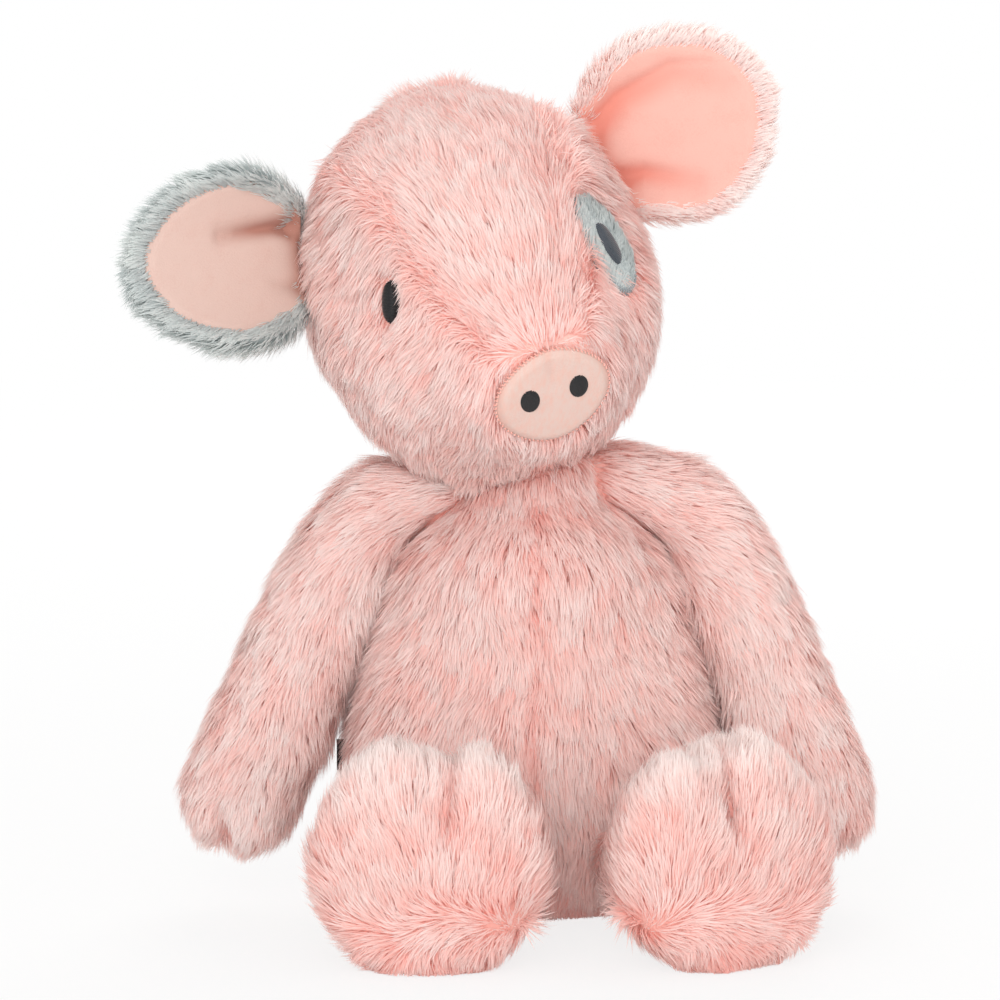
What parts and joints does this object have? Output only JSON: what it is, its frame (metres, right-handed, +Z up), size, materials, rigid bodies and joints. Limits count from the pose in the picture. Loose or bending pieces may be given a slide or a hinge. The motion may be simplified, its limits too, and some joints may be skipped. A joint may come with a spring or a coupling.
{
  "type": "plush pig",
  "caption": "Sitting plush pig in pink fur with a grey eye patch, a grey ear back, a velour snout and a curled tail; head, ears, arms, legs and tail swing.",
  "frame": {"origin": "the middle of the flat seat on the floor, under the neck", "axes": "+Z up, -Y the way the belly faces, +X the pig's left side; millimetres in the source, metres in the record"},
  "size_m": [0.2549, 0.2024, 0.3054],
  "materials": {
    "pink_fur": "matte",
    "grey_fur": "matte",
    "beige_velour": "matte",
    "peach_velour": "matte",
    "snout_velour": "matte",
    "black_thread": "satin",
    "charcoal_thread": "satin",
    "salmon_thread": "satin",
    "slate_thread": "satin",
    "black_ribbon": "satin",
    "fibre_fill": "matte",
    "pouch_canvas": "matte"
  },
  "bodies": {
    "torso": {"torso_cover": "pink_fur", "torso_stuffing": "fibre_fill", "bean_pouch": "pouch_canvas", "side_tab": "black_ribbon"},
    "head": {"head_cover": "pink_fur", "head_stuffing": "fibre_fill", "snout_disc": "snout_velour", "snout_stitch": "salmon_thread", "nostril_left": "black_thread", "nostril_right": "black_thread", "eye_right": "black_thread", "eye_left": "charcoal_thread", "eye_patch": "grey_fur", "eye_patch_stitch": "slate_thread"},
    "ear_left": {"ear_back_left": "pink_fur", "ear_lining_left": "peach_velour"},
    "ear_right": {"ear_back_right": "grey_fur", "ear_lining_right": "beige_velour"},
    "arm_left": {"arm_cover_left": "pink_fur", "arm_stuffing_left": "fibre_fill"},
    "arm_right": {"arm_cover_right": "pink_fur", "arm_stuffing_right": "fibre_fill"},
    "leg_left": {"leg_cover_left": "pink_fur", "leg_stuffing_left": "fibre_fill"},
    "leg_right": {"leg_cover_right": "pink_fur", "leg_stuffing_right": "fibre_fill"},
    "tail": {"tail": "pink_fur"}
  },
  "joints": [
    {"name": "neck_tilt", "type": "hinge", "parent": "torso", "child": "head", "pos_m": [0, 0, 0.146], "axis": [0, 1, 0], "range_deg": [-4, 33]},
    {"name": "ear_left_fold", "type": "hinge", "parent": "head", "child": "ear_left", "pos_m": [0.02083, 0.01929, 0.2575], "axis": [-0.4815, 0.0391, 0.8756], "range_deg": [-20, 20]},
    {"name": "ear_right_fold", "type": "hinge", "parent": "head", "child": "ear_right", "pos_m": [-0.07974, -0.00679, 0.22866], "axis": [0.0982, -0.1385, -0.9855], "range_deg": [-20, 20]},
    {"name": "shoulder_left_swing", "type": "hinge", "parent": "torso", "child": "arm_left", "pos_m": [0.05037, 0, 0.142], "axis": [-1, 0, 0], "range_deg": [-20, 75]},
    {"name": "shoulder_right_swing", "type": "hinge", "parent": "torso", "child": "arm_right", "pos_m": [-0.05037, 0, 0.142], "axis": [-1, 0, 0], "range_deg": [-20, 75]},
    {"name": "hip_left_swing", "type": "hinge", "parent": "torso", "child": "leg_left", "pos_m": [0.03711, -0.05153, 0.02561], "axis": [1, 0, 0], "range_deg": [-30, 75]},
    {"name": "hip_right_swing", "type": "hinge", "parent": "torso", "child": "leg_right", "pos_m": [-0.03711, -0.05153, 0.02561], "axis": [1, 0, 0], "range_deg": [-30, 75]},
    {"name": "tail_wag", "type": "hinge", "parent": "torso", "child": "tail", "pos_m": [-0.0004, 0.0541, 0.04187], "axis": [0, 0, 1], "range_deg": [-30, 30]}
  ]
}
